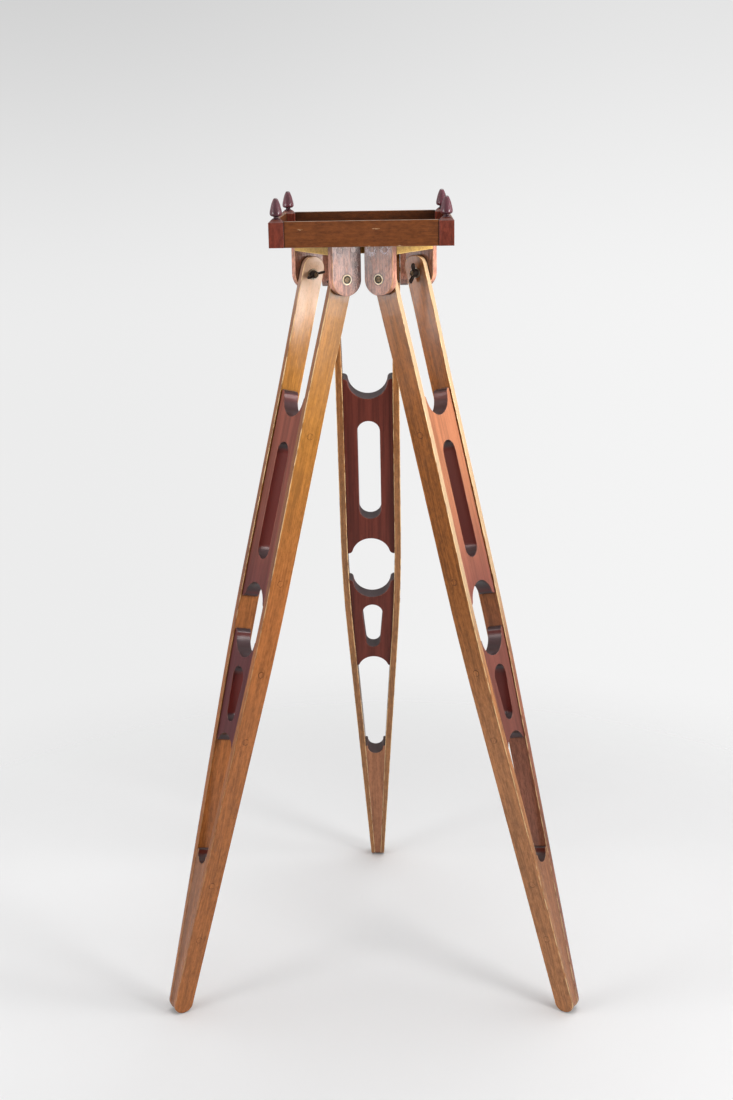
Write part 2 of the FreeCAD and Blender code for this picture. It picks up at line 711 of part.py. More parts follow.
def wing_nut():
    """Wing nut with its base on the XY plane and its bore up Z; the wings spread along X."""
    bore = PIVOT_SCREW_RADIUS + RUNNING_GAP
    profile = [
        V(bore, 0, 0),
        V(NUT_BASE_RADIUS, 0, 0),
        V(NUT_BASE_RADIUS, 0, NUT_FLANGE),
        V(NUT_TOP_RADIUS, 0, NUT_HEIGHT - NUT_TOP_BEVEL),
        V(NUT_TOP_RADIUS - NUT_TOP_BEVEL, 0, NUT_HEIGHT),
        V(bore, 0, NUT_HEIGHT),
    ]
    hub = Part.Face(polygon(profile)).revolve(V(0, 0, 0), Z_AXIS, 360).Solids[0]
    half = WING_THICK / 2
    lobe = (WING_REACH, NUT_HEIGHT + WING_RISE)
    root_r = NUT_TOP_RADIUS - WING_ROOT
    low = (root_r, WING_MARGIN)
    high = (root_r, NUT_HEIGHT - WING_MARGIN)
    low_touch = tangent_point(low, lobe, WING_LOBE_RADIUS, 1)
    high_touch = tangent_point(high, lobe, WING_LOBE_RADIUS, -1)
    low_turn = math.atan2(low_touch[1] - lobe[1], low_touch[0] - lobe[0])
    high_turn = math.atan2(high_touch[1] - lobe[1], high_touch[0] - lobe[0])
    middle_turn = (low_turn + high_turn) / 2
    far_x = lobe[0] + WING_LOBE_RADIUS * math.cos(middle_turn)
    far_z = lobe[1] + WING_LOBE_RADIUS * math.sin(middle_turn)

    def at(point):
        return V(point[0], -half, point[1])

    edges = [
        Part.makeLine(at(low), at(low_touch)),
        arc(at(low_touch), at((far_x, far_z)), at(high_touch)),
        Part.makeLine(at(high_touch), at(high)),
        Part.makeLine(at(high), at(low)),
    ]
    wing = Part.Face(Part.Wire(edges)).extrude(V(0, WING_THICK, 0))

    def on_outline(p):
        return abs(abs(p.y) - half) < TOUCH and p.x > root_r + TOUCH

    wing = soften(wing, SOFT, on_outline, True)
    return one_solid(hub.fuse([wing, mirrored_x(wing)]))


def place_wing_nut(nut, side, turn, spin):
    """Set a wing nut on the screw of one side; its top points to the middle of the leg."""
    nut = turned(turned(nut, spin), -90 * side, Y_AXIS)
    return turned(moved(nut, side * NUT_BASE, PIVOT_RADIAL, PIVOT_Z), turn)


def build_head():
    export("head_block", head_block())
    plate = cheek()
    nut = wing_nut()
    side_pieces = {
        "cheek_screws": [cheek_screw(place) for place in cheek_screw_places()],
        "cheek_plugs": [wooden_plug(place, -X_AXIS) for place in cheek_screw_places()],
        "cup_washers": [cup_washer()],
        "pivot_screws": [pivot_screw()],
        "pivot_washers": [pivot_washer()],
    }
    groups = {name: [] for name in side_pieces}
    groups["tray_screws"] = []
    for leg, (turn, sides) in LEGS.items():
        for side, side_name in sides.items():
            label = leg + "_" + side_name
            shape = plate if side > 0 else mirrored_x(plate)
            export("cheek_" + label, turned(shape, turn))
            export("wing_nut_" + label, place_wing_nut(nut, side, turn, NUT_TURNS[label]))
            for name, pieces in side_pieces.items():
                for piece in pieces:
                    handed = piece if side > 0 else mirrored_x(piece)
                    groups[name].append(turned(handed, turn))
        for radius in TRAY_SCREW_RADII:
            groups["tray_screws"].append(turned(tray_screw(radius), turn))
    for name, pieces in groups.items():
        export(name, group(pieces))


def gallery_rail():
    """The gallery's front rail, with a stub tenon at each end."""
    half = TRAY_SIDE / 2
    outer_y = -(half - GALLERY_SET_BACK)
    span = half - POST_SIDE
    top = TRAY_BOTTOM + GALLERY_HEIGHT
    board = box((-span, outer_y, TRAY_BOTTOM), (span, outer_y + GALLERY_THICK, top))

    def on_long_edge(p):
        return abs(p.x) < span - CLEAR

    board = soften(board, SOFT, on_long_edge, True)
    middle_y = outer_y + GALLERY_THICK / 2
    tenon_half = TENON_THICK / 2
    low = (-span - TENON_LENGTH, middle_y - tenon_half, TRAY_BOTTOM + TENON_SHOULDER)
    high = (span + TENON_LENGTH, middle_y + tenon_half, top - TENON_SHOULDER)
    return one_solid(board.fuse(box(low, high)))


def corner_post(gallery):
    """The front-left post: a square block with chamfered top and mortises for two gallery rails."""
    half = TRAY_SIDE / 2
    low = (-half, -half, TRAY_BOTTOM)
    high = (-half + POST_SIDE, -half + POST_SIDE, TRAY_BOTTOM + POST_HEIGHT)
    post = box(low, high)
    post = soften(post, POST_CHAMFER, lambda p: p.z > high[2] - TOUCH)

    def on_upright_edge(p):
        return TRAY_BOTTOM + CLEAR < p.z < high[2] - POST_CHAMFER - CLEAR

    post = soften(post, SOFT, on_upright_edge, True)
    centre = V(-half + POST_SIDE / 2, -half + POST_SIDE / 2, high[2])
    post = post.cut(rod(FINIAL_PEG_RADIUS, centre, -Z_AXIS, FINIAL_PEG_LENGTH))
    post = post.cut(gallery)
    return one_solid(post.cut(turned(gallery, -90)))


def finial():
    """Turned acorn: a small flared foot, a thin neck and a body widest near its base."""
    inset = TRAY_SIDE / 2 - POST_SIDE / 2

    def at(radius, z):
        return V(radius, 0, z)

    peg_end = at(FINIAL_PEG_RADIUS, -FINIAL_PEG_LENGTH)
    peg_root = at(FINIAL_PEG_RADIUS, 0)
    foot_low = at(FINIAL_FOOT_RADIUS - SOFT, 0)
    foot_high = at(FINIAL_FOOT_RADIUS - SOFT, FINIAL_FOOT_HEIGHT)
    neck = at(FINIAL_NECK_RADIUS, FINIAL_NECK_HEIGHT)
    cup = at(*FINIAL_CUP)
    rim = at(FINIAL_RADIUS, FINIAL_RIM_HEIGHT)
    tip = at(0, FINIAL_HEIGHT)
    under_rim = (rim + cup) * 0.5 + at(1.3, -0.9)
    edges = [
        Part.makeLine(at(0, -FINIAL_PEG_LENGTH), peg_end),
        Part.makeLine(peg_end, peg_root),
        Part.makeLine(peg_root, foot_low),
        arc(foot_low, at(FINIAL_FOOT_RADIUS, FINIAL_FOOT_HEIGHT / 2), foot_high),
        arc(foot_high, (foot_high + neck) * 0.5 + at(-0.5, -0.4), neck),
        arc(neck, (neck + cup) * 0.5 + at(-0.3, 0.2), cup),
        arc(cup, under_rim, rim),
    ]
    body = Part.BSplineCurve()
    body.interpolate(
        Points=[rim] + [at(*place) for place in FINIAL_BODY] + [tip],
        InitialTangent=V(0, 0, 1),
        FinalTangent=V(-1, 0, 0),
    )
    edges.append(body.toShape())
    edges.append(Part.makeLine(tip, at(0, -FINIAL_PEG_LENGTH)))
    turning = Part.Face(Part.Wire(edges)).revolve(V(0, 0, 0), Z_AXIS, 360).Solids[0]
    return moved(turning, -inset, -inset, TRAY_BOTTOM + POST_HEIGHT)


def tray_floor():
    """Floor board fitted inside the gallery, its corners notched round the posts."""
    wide = TRAY_SIDE / 2 - GALLERY_SET_BACK - GALLERY_THICK - FLOOR_GAP
    narrow = TRAY_SIDE / 2 - POST_SIDE - FLOOR_GAP
    board = box((-wide, -narrow, TRAY_BOTTOM), (wide, narrow, 0))
    board = one_solid(board.fuse(box((-narrow, -wide, TRAY_BOTTOM), (narrow, wide, 0))))
    holes = []
    for turn, _ in LEGS.values():
        for radius in TRAY_SCREW_RADII:
            holes.append(turned(tray_screw_blank(radius), turn))
    return one_solid(board.cut(holes))


def build_tray():
    export("tray_floor", tray_floor())
    front = gallery_rail()
    post = corner_post(front)
    acorn = finial()
    for i, name in enumerate(("front", "right", "back", "left")):
        export("gallery_rail_" + name, turned(front, 90 * i))
    for i, name in enumerate(("front_left", "front_right", "back_right", "back_left")):
        export("corner_post_" + name, turned(post, 90 * i))
        export("finial_" + name, turned(acorn, 90 * i))


os.makedirs("parts", exist_ok=True)
build_tray()
build_head()
build_legs()
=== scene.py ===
import json
import math

import bpy
import bmesh
from mathutils import Matrix, Vector


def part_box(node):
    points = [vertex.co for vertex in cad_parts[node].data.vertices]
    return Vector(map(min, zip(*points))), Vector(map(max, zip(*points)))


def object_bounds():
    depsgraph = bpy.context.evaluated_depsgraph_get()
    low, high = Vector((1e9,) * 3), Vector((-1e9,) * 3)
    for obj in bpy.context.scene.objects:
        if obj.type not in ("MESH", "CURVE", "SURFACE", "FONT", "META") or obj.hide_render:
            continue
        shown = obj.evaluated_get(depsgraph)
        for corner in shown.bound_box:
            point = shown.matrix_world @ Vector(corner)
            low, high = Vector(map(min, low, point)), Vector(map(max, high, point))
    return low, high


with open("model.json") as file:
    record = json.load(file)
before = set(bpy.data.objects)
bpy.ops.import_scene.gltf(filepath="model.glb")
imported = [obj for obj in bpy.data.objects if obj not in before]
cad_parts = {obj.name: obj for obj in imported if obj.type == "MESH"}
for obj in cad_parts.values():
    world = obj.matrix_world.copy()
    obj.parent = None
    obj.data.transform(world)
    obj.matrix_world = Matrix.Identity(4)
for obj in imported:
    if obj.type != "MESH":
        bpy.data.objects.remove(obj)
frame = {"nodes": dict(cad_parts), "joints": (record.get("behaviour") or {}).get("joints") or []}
cad_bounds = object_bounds()

# Looks for the surveyor tripod: old varnished wood on every CAD piece, brass cups, blackened iron
# wing nuts, a pale studio floor, soft lights and the camera. Metres, in the CAD's own frame.

MM = 0.001
SPLAY = math.radians(14.46)      # each leg's lean from the vertical at rest
UP = Vector((0, 0, 1))
FLOOR_Z = cad_bounds[0].z
CENTRE = Vector((0, 0, 0))

JOINTS = {joint["name"]: joint for joint in frame["joints"]}
LEGS = {                         # each leg's two sides, which name its rails, cheeks and wing nuts
    "rear": ("right", "left"),
    "left": ("back", "front"),
    "right": ("front", "back"),
}
CORNERS = ("front_left", "front_right", "back_right", "back_left")
RAYS = 6                         # rays for each look into a crevice or round an edge


def tint(red, green, blue):
    """A colour given as 0 to 255 display values, turned into the linear values that shaders use."""
    def linear(value):
        share = value / 255
        return share / 12.92 if share <= 0.04045 else ((share + 0.055) / 1.055) ** 2.4

    return (linear(red), linear(green), linear(blue), 1.0)


def shades(middle, spread):
    """Dark, middle and light versions of one colour."""
    versions = []
    for factor in (1 - spread, 1.0, 1 + spread):
        versions.append(tuple(min(1.0, part * factor) for part in middle[:3]) + (1.0,))
    return versions


# ---------------------------------------------------------------- shader node helpers


class Shader:
    """A material's node tree, with a short call for each kind of node used here."""

    def __init__(self, name):
        self.material = bpy.data.materials.new(name)
        self.material.use_nodes = True
        self.tree = self.material.node_tree
        self.tree.nodes.clear()

    def add(self, kind, inputs=None, **settings):
        node = self.tree.nodes.new(kind)
        for key, value in settings.items():
            setattr(node, key, value)
        for key, value in (inputs or {}).items():
            self.plug(node.inputs[key], value)
        return node

    def plug(self, socket, value):
        if isinstance(value, bpy.types.NodeSocket):
            self.tree.links.new(value, socket)
        else:
            socket.default_value = value

    def math(self, operation, a, b=0.0):
        return self.add("ShaderNodeMath", {0: a, 1: b}, operation=operation).outputs[0]

    def vector(self, operation, a, b, output="Vector"):
        return self.add("ShaderNodeVectorMath", {0: a, 1: b}, operation=operation).outputs[output]

    def scaled(self, a, factor):
        node = self.add("ShaderNodeVectorMath", {0: a}, operation="SCALE")
        self.plug(node.inputs["Scale"], factor)
        return node.outputs["Vector"]

    def length(self, a):
        return self.vector("LENGTH", a, (0, 0, 0), "Value")

    def mix(self, share, a, b):
        """Colour a where the share is 0 and colour b where it is 1."""
        node = self.add("ShaderNodeMix", data_type="RGBA")
        self.plug(node.inputs["Factor"], share)
        self.plug(node.inputs["A"], a)
        self.plug(node.inputs["B"], b)
        return next(socket for socket in node.outputs if socket.type == "RGBA")

    def smooth(self, value, low, high, to_low=0.0, to_high=1.0):
        """0 at low, 1 at high, turning smoothly between. low may be the larger of the two."""
        inputs = {"Value": value, "From Min": low, "From Max": high}
        inputs.update({"To Min": to_low, "To Max": to_high})
        node = self.add("ShaderNodeMapRange", inputs, interpolation_type="SMOOTHSTEP")
        return node.outputs["Result"]

    def noise(self, where, size, detail=2.0, roughness=0.5, seed=0.0, distortion=0.0):
        """Noise whose lumps measure size millimetres along the three axes of where."""
        shrink = [1 / length for length in size]
        place = self.vector("MULTIPLY", where, shrink)
        shift = (seed * 13.7, seed * 5.3 + 11, seed * 7.9 + 3)     # each seed has a place of its own
        place = self.vector("ADD", place, shift)
        inputs = {"Vector": place, "Scale": 1.0, "Detail": detail, "Roughness": roughness}
        inputs["Distortion"] = distortion
        return self.add("ShaderNodeTexNoise", inputs, noise_dimensions="3D").outputs[0]

    def ramp(self, value, stops):
        """A colour from a list of (value, colour) stops."""
        node = self.add("ShaderNodeValToRGB", {"Fac": value})
        elements = node.color_ramp.elements
        while len(elements) < len(stops):
            elements.new(0.5)
        for element, (place, colour) in zip(elements, stops):
            element.position = place
            element.color = colour
        return node.outputs["Color"]

    def weighted(self, parts):
        """Sum of (value, weight) pairs."""
        total = 0.0
        for value, weight in parts:
            total = self.math("ADD", self.math("MULTIPLY", value, weight), total)
        return total

    def painted(self, base, mask, strength, colour):
        """base with colour laid over it where the mask is 1, at the given strength."""
        return self.mix(self.math("MULTIPLY", mask, strength), base, colour)

    def crevice(self, reach):
        """1 deep in a corner or gap narrower than reach, 0 on open surface."""
        node = self.add("ShaderNodeAmbientOcclusion", {"Distance": reach}, samples=RAYS)
        return self.math("SUBTRACT", 1.0, node.outputs["AO"])

    def turning(self, reach, flat, sharp):
        """1 where the surface turns a sharp edge within reach, 0 where it is flat. flat and sharp are
        the cosines of the turn at which the mask starts and is full."""
        bevel = self.add("ShaderNodeBevel", {"Radius": reach}, samples=RAYS)
        geometry = self.add("ShaderNodeNewGeometry")
        facing = self.vector("DOT_PRODUCT", bevel.outputs[0], geometry.outputs["Normal"], "Value")
        return self.smooth(facing, flat, sharp)

    def finish(self, inputs, height, lift):
        """The material with these surface inputs; height is its relief in shares of lift."""
        surface = self.add("ShaderNodeBsdfPrincipled", inputs)
        bump = self.add("ShaderNodeBump", {"Height": height, "Distance": lift, "Strength": 1.0})
        self.plug(surface.inputs["Normal"], bump.outputs["Normal"])
        self.plug(surface.inputs["Coat Normal"], bump.outputs["Normal"])
        self.add("ShaderNodeOutputMaterial", {"Surface": surface.outputs["BSDF"]})
        return self.material


# ---------------------------------------------------------------- grain frames


def grain_axes(along, through):
    """Rotation whose columns are across, through and along the grain."""
    along = along.normalized()
    through = (through - along * through.dot(along)).normalized()
    across = through.cross(along)
    return Matrix((across, through, along)).transposed()


def leg_grain(leg):
    """(pivot, axes) of a leg: across its pivot axis, through outward, along up the leg."""
    joint = JOINTS[leg + "_leg_swing"]
    pivot_axis = Vector(joint["axis"])
    outward = UP.cross(pivot_axis)
    up_the_leg = UP * math.cos(SPLAY) - outward * math.sin(SPLAY)
    return Vector(joint["pos_m"]), grain_axes(up_the_leg, outward)


def in_grain(place, origin, axes):
    """A place in metres, as millimetres in a grain frame."""
    return axes.transposed() @ (place - origin) / MM


def separate_solids(node):
    """Centres of the separate solids that share a CAD node."""
    shape = bmesh.new()
    shape.from_mesh(frame["nodes"][node].data)
    waiting = set(shape.verts)
    centres = []
    while waiting:
        solid = []
        edge = [waiting.pop()]
        while edge:
            vertex = edge.pop()
            solid.append(vertex.co.copy())
            for link in vertex.link_edges:
                other = link.other_vert(vertex)
                if other in waiting:
                    waiting.remove(other)
                    edge.append(other)
        low = Vector([min(place[i] for place in solid) for i in range(3)])
        high = Vector([max(place[i] for place in solid) for i in range(3)])
        centres.append((low + high) / 2)
    shape.free()
    return sorted(centres, key=lambda place: (round(place.z, 4), round(place.x, 4)))


# ---------------------------------------------------------------- wood


# Each wood: its middle colour and how far it strays from it; how much of the tone comes from streaks,
# broad figure, mottling and hair-fine lines; how strong its pores and dark flecks are; its varnish;
# how its edges wear, which on the leg rails is also painted highlight; its grime, which also serves as
# painted shade; and, where there is a value for it, how much painted shade darkens it in large hollows.
WOODS = {
    "rail": {
        "colour": tint(164, 108, 42), "spread": 0.26,
        "streak": 0.34, "figure": 0.22, "mottle": 0.32, "hairs": 0.12,
        "pores": 0.30, "flecks": 0.20, "roughness": 0.17, "gloss": 0.36, "coat": 0.12, "bump": 0.02,
        "arris_colour": tint(240, 204, 150), "wear": 0.70, "grime_and_shade": tint(50, 26, 14),
    },
    "web": {
        "colour": tint(100, 46, 36), "spread": 0.24,
        "streak": 0.30, "figure": 0.46, "mottle": 0.10, "hairs": 0.14,
        "pores": 0.22, "flecks": 0.0, "roughness": 0.42, "gloss": 0.22, "coat": 0.04, "bump": 0.04,
        "arris_colour": tint(156, 96, 76), "wear": 0.30, "grime_and_shade": tint(26, 12, 10),
    },
    "foot": {
        "colour": tint(156, 104, 74), "spread": 0.28,
        "streak": 0.26, "figure": 0.26, "mottle": 0.30, "hairs": 0.18,
        "pores": 0.30, "flecks": 0.20, "roughness": 0.42, "gloss": 0.22, "coat": 0.04, "bump": 0.05,
        "arris_colour": tint(200, 160, 122), "wear": 0.50, "grime_and_shade": tint(40, 24, 16),
    },
    "gallery": {
        "colour": tint(112, 62, 30), "spread": 0.30,
        "streak": 0.22, "figure": 0.08, "mottle": 0.44, "hairs": 0.26,
        "pores": 0.40, "flecks": 0.30, "roughness": 0.42, "gloss": 0.30, "coat": 0.08, "bump": 0.06,
        "arris_colour": tint(150, 128, 108), "wear": 0.65, "grime_and_shade": tint(22, 12, 8), "hollow_shade": 0.75,
    },
    "post": {
        "colour": tint(112, 50, 36), "spread": 0.34,
        "streak": 0.10, "figure": 0.18, "mottle": 0.54, "hairs": 0.18,
        "pores": 0.30, "flecks": 0.15, "roughness": 0.38, "gloss": 0.35, "coat": 0.12, "bump": 0.05,
        "arris_colour": tint(58, 44, 38), "wear": 0.60, "grime_and_shade": tint(22, 12, 9),
    },
    "finial": {
        "colour": tint(80, 37, 46), "spread": 0.26,
        "streak": 0.24, "figure": 0.30, "mottle": 0.30, "hairs": 0.16,
        "pores": 0.15, "flecks": 0.0, "roughness": 0.32, "gloss": 0.60, "coat": 0.80, "bump": 0.012,
        "arris_colour": tint(96, 52, 54), "wear": 0.10, "grime_and_shade": tint(14, 7, 7),
    },
    "cheek": {
        "colour": tint(176, 120, 99), "spread": 0.46,
        "streak": 0.24, "figure": 0.14, "mottle": 0.46, "hairs": 0.16,
        "pores": 0.62, "flecks": 0.62, "roughness": 0.32, "gloss": 0.5, "coat": 0.40, "bump": 0.16,
        "arris_colour": tint(212, 156, 92), "wear": 0.70, "grime_and_shade": tint(38, 20, 14), "hollow_shade": 0.35,
    },
    "head": {
        "colour": tint(242, 190, 100), "spread": 0.26,
        "streak": 0.34, "figure": 0.26, "mottle": 0.22, "hairs": 0.18,
        "pores": 0.30, "flecks": 0.15, "roughness": 0.38, "gloss": 0.40, "coat": 0.12, "bump": 0.05,
        "arris_colour": tint(240, 206, 150), "wear": 0.55, "grime_and_shade": tint(50, 28, 14),
    },
    "floor_board": {
        "colour": tint(112, 62, 34), "spread": 0.26,
        "streak": 0.30, "figure": 0.36, "mottle": 0.16, "hairs": 0.18,
        "pores": 0.40, "flecks": 0.20, "roughness": 0.44, "gloss": 0.30, "coat": 0.10, "bump": 0.06,
        "arris_colour": tint(150, 110, 84), "wear": 0.30, "grime_and_shade": tint(28, 16, 10), "hollow_shade": 0.60,
    },
}
# Plugs are flush with the board round them and have no worn edge of their own.
WOODS["rail_plug"] = dict(WOODS["rail"], wear=0.0)
WOODS["cheek_plug"] = dict(WOODS["cheek"], wear=0.0)

# Colours alone, for boards of one of the woods above: the middle colour and how far it strays.
STAINS = {
    "right_rail": (tint(141, 82, 32), 0.36),
    "rear_rail": (tint(146, 94, 50), 0.30),
    "left_rail_foot": (tint(160, 96, 48), 0.30),
    "rear_rail_foot": (tint(146, 98, 58), 0.30),
    "right_rail_foot": (tint(168, 111, 68), 0.32),
    # painted shade: lower down, the right leg's back rail darkens where its inner face is in shade
    "right_back_rail_foot_shade": (tint(138, 84, 62), 0.32),
    "left_web": (tint(112, 60, 48), 0.22),
    "left_web_foot": (tint(88, 42, 44), 0.22),
    # painted light: the right leg's webs face the light and are a lighter, lit copy of the web colour;
    # their lower colour is painted shade where that light falls off
    "right_web_lit": (tint(146, 92, 64), 0.20),
    "right_web_foot_shade": (tint(114, 64, 54), 0.20),
}
for wood_name, wood in WOODS.items():
    STAINS[wood_name] = (wood["colour"], wood["spread"])

# Sizes of the figure in millimetres, across, through and along the grain.
STREAK = (2.6, 2.6, 110.0)
FIGURE = (9.0, 9.0, 240.0)
MOTTLE = (5.0, 5.0, 12.0)
HAIR = (0.6, 0.6, 20.0)
PORE = (0.5, 0.5, 4.5)
PORE_PATCH = (7.0, 7.0, 30.0)
FLECK = (1.3, 1.3, 5.5)
SMEAR = (26.0, 26.0, 60.0)       # of the varnish
RUB = (5.0, 5.0, 22.0)           # of the wear on the edges
RING_GRAIN = (4.0, 4.0, 4.0)
SPOT_GRAIN = (1.4, 1.4, 2.6)

CUT_END = tint(58, 32, 36)       # varnished end grain on the walls of scallops and slots
CUT_SIDE = tint(96, 28, 21)      # and the long side walls of the slots
CUT_STRENGTH = 0.9
CUT_ROUGHNESS = 0.32
CUT_COAT = 0.16                  # more coat than on the face
CUT_GLOSS = 0.12                 # and more gloss
CUT_DUST_AND_SHEEN = tint(168, 160, 164)   # dust and painted sheen on the parts of those walls that face upwards
CUT_DUST_AND_SHEEN_STRENGTH = 0.12
CUT_EDGE_WEAR_AND_HIGHLIGHT = tint(186, 146, 134)   # their edges, rubbed pale and with a painted highlight along them
CUT_EDGE_WEAR_AND_HIGHLIGHT_STRENGTH = 0.55
CUT_EDGE_REACH = 2.6 * MM

PAINTED_SHEEN_TOP_END = 5.0               # painted sheen: the leg rails are painted pale above this height, near the pivot, for the varnish's reflection
PAINTED_SHEEN_TOP_COLOUR = tint(232, 200, 174)
PAINTED_SHEEN_TOP_DRIFT = 70.0            # how unevenly the painted sheen ends
PAINTED_SHEEN_TOP_GRAIN = (14.0, 14.0, 60.0)
BAND_FADE = 120                  # millimetres over which a band of colour starts or ends, each way
BAND_STRENGTH = 0.75
LOW_WEAR_AND_HIGHLIGHT = (-750, -400)          # between these heights a leg's wear and painted edge highlight changes over

END_GRAIN_STRENGTH = 0.50
MARK_STRENGTH = 0.8              # of the rings and spots: stains, painted shadow round the cups, painted shade and painted glints
DIRT_AND_SHADE_STRENGTH = 0.85             # of the dirt and painted shade in corners and joints
CORNER_SHADE_REACH = 4 * MM
# reach of the painted shade in large hollows
HOLLOW_SHADE_REACH = 120 * MM
SEAM = (2.2, 0.6)                # millimetres before a joint at which its dirty seam starts and is full
COAT_ROUGHNESS = 0.13


class WoodShader(Shader):
    """Old varnished wood in a grain frame, where 1 is a millimetre. Each lay_ method lays one more
    effect over the colour, so their order matters. Noise runs mostly from 0.3 to 0.7."""

    def __init__(self, name, kind, origin, axes, seed):
        super().__init__(name)
        self.wood = WOODS[kind]
        self.seed = seed
        coords = self.add("ShaderNodeTexCoord")
        inputs = {"Vector": coords.outputs["Object"], "Location": origin, "Scale": (MM, MM, MM)}
        inputs["Rotation"] = axes.to_euler("XYZ")
        mapping = self.add("ShaderNodeMapping", inputs, vector_type="TEXTURE")
        self.where = mapping.outputs["Vector"]
        self.along = self.add("ShaderNodeSeparateXYZ", {"Vector": self.where}).outputs["Z"]

        # How far a face looks across, through and along the grain, and up, from -1 to 1.
        self.facing = [self.looks(coords, axis) for axis in axes.transposed()]
        self.upward = self.looks(coords, UP)
        self.across, self.through, self.endwise = [self.math("ABSOLUTE", part) for part in self.facing]

        self.tone, self.mottle, self.hairs = self.make_tone()
        self.pores = self.make_pores()
        self.patchy = self.smooth(self.grain_noise(RUB, 3.0, 0.65, 7), 0.34, 0.58)
        smears = self.grain_noise(SMEAR, 3.0, 0.6, 8)
        smooth_varnish = self.wood["roughness"] - 0.04
        dull_varnish = self.wood["roughness"] + 0.07
        self.roughness = self.smooth(smears, 0.3, 0.7, smooth_varnish, dull_varnish)
        self.coat = self.wood["coat"]
        self.gloss = self.wood["gloss"]
        self.colour = None

    def looks(self, coords, direction):
        return self.vector("DOT_PRODUCT", coords.outputs["Normal"], tuple(direction), "Value")

    def grain_noise(self, size, detail, roughness, number, distortion=0.0):
        """One of the wood's own noises; the number keeps them apart."""
        return self.noise(self.where, size, detail, roughness, self.seed + number, distortion)

    def make_tone(self):
        """Tone about 0.5 from streaks, broad figure, mottling and hair lines, and the last two alone."""
        streaks = self.grain_noise(STREAK, 4.0, 0.6, 0)
        figure = self.grain_noise(FIGURE, 2.0, 0.5, 3)
        mottle = self.grain_noise(MOTTLE, 4.0, 0.72, 2, 0.2)
        hairs = self.grain_noise(HAIR, 3.0, 0.6, 1)
        parts = [(streaks, "streak"), (figure, "figure"), (mottle, "mottle"), (hairs, "hairs")]
        return self.weighted([(value, self.wood[key]) for value, key in parts]), mottle, hairs

    def make_pores(self):
        """Short dark dashes along the grain, thick in some patches and thin in others."""
        pores = self.smooth(self.grain_noise(PORE, 2.0, 0.5, 5), 0.58, 0.68)
        patches = self.smooth(self.grain_noise(PORE_PATCH, 1.0, 0.5, 6), 0.35, 0.6)
        return self.math("MULTIPLY", pores, patches)

    def lay(self, mask, strength, colour):
        self.colour = self.painted(self.colour, mask, strength, colour)

    def stained(self, stain):
        dark, middle, light = shades(*STAINS[stain])
        return self.ramp(self.tone, [(0.43, dark), (0.50, middle), (0.57, light)])

    def lay_stain(self, stain, lower):
        """The wood's own colour. lower is (upper end, lower end, stain): where it turns to another."""
        self.colour = self.stained(stain)
        if lower:
            start, end, low_stain = lower
            low_share = self.smooth(self.along, start, end)
            self.colour = self.mix(low_share, self.colour, self.stained(low_stain))

    def lay_pale_top(self, strength, lowest):
        """Painted sheen: the varnish painted pale near the pivot for its reflection, down to about
        lowest.
        """
        drift = self.math("MULTIPLY", self.grain_noise(PAINTED_SHEEN_TOP_GRAIN, 2.0, 0.6, 10), PAINTED_SHEEN_TOP_DRIFT)
        height = self.math("ADD", self.along, drift)
        self.lay(self.smooth(height, lowest, PAINTED_SHEEN_TOP_END), strength, PAINTED_SHEEN_TOP_COLOUR)

    def lay_band(self, upper, lowest, colour):
        """A band of colour on the faces that look through the grain's positive side."""
        start = self.smooth(self.along, upper + BAND_FADE, upper - BAND_FADE)
        end = self.smooth(self.along, lowest - BAND_FADE, lowest + BAND_FADE)
        outward = self.smooth(self.facing[1], 0.6, 0.9)
        band = self.math("MULTIPLY", outward, self.math("MULTIPLY", start, end))
        self.lay(band, BAND_STRENGTH, colour)

    def lay_cut_walls(self):
        """Darker and glossier walls where slots and scallops go through the board."""
        wall = self.smooth(self.through, 0.75, 0.3)
        ends = self.smooth(self.endwise, 0.15, 0.50)
        self.lay(wall, CUT_STRENGTH, self.mix(ends, CUT_SIDE, CUT_END))
        change = self.math("MULTIPLY", wall, CUT_ROUGHNESS - self.wood["roughness"])
        self.roughness = self.math("ADD", self.roughness, change)
        self.coat = self.math("ADD", self.math("MULTIPLY", wall, CUT_COAT), self.coat)
        self.gloss = self.math("ADD", self.math("MULTIPLY", wall, CUT_GLOSS), self.gloss)
        # Dust and painted sheen where the walls face upwards.
        dusty_and_lit = self.math("MULTIPLY", wall, self.smooth(self.upward, 0.15, 0.95))
        self.lay(dusty_and_lit, CUT_DUST_AND_SHEEN_STRENGTH, CUT_DUST_AND_SHEEN)

    def lay_grain(self):
        """End grain, pores and flecks, all darker than the face."""
        grime_and_shade = self.wood["grime_and_shade"]
        self.lay(self.smooth(self.endwise, 0.45, 0.80), END_GRAIN_STRENGTH, grime_and_shade)
        self.lay(self.pores, self.wood["pores"], grime_and_shade)
        flecks = self.smooth(self.grain_noise(FLECK, 2.0, 0.6, 9), 0.60, 0.72)
        self.lay(flecks, self.wood["flecks"], grime_and_shade)

    def lay_wear_and_highlight(self, low_share):
        """Arrises rubbed through the varnish, with painted highlight along the leg rails' arrises;
        low_share of it is left towards a leg's foot.
        """
        arris = self.smooth(self.math("MULTIPLY", self.across, self.through), 0.10, 0.34)
        worn_and_lit = self.math("MULTIPLY", arris, self.patchy)
        left = self.smooth(self.along, *LOW_WEAR_AND_HIGHLIGHT, low_share, 1.0)
        self.lay(self.math("MULTIPLY", worn_and_lit, left), self.wood["wear"], self.wood["arris_colour"])

    def lay_cut_edges(self):
        # Pale rubbed edges of the slots and scallops, with a painted highlight along them.
        edges = self.turning(CUT_EDGE_REACH, 0.98, 0.86)
        self.lay(self.math("MULTIPLY", edges, self.patchy), CUT_EDGE_WEAR_AND_HIGHLIGHT_STRENGTH, CUT_EDGE_WEAR_AND_HIGHLIGHT)

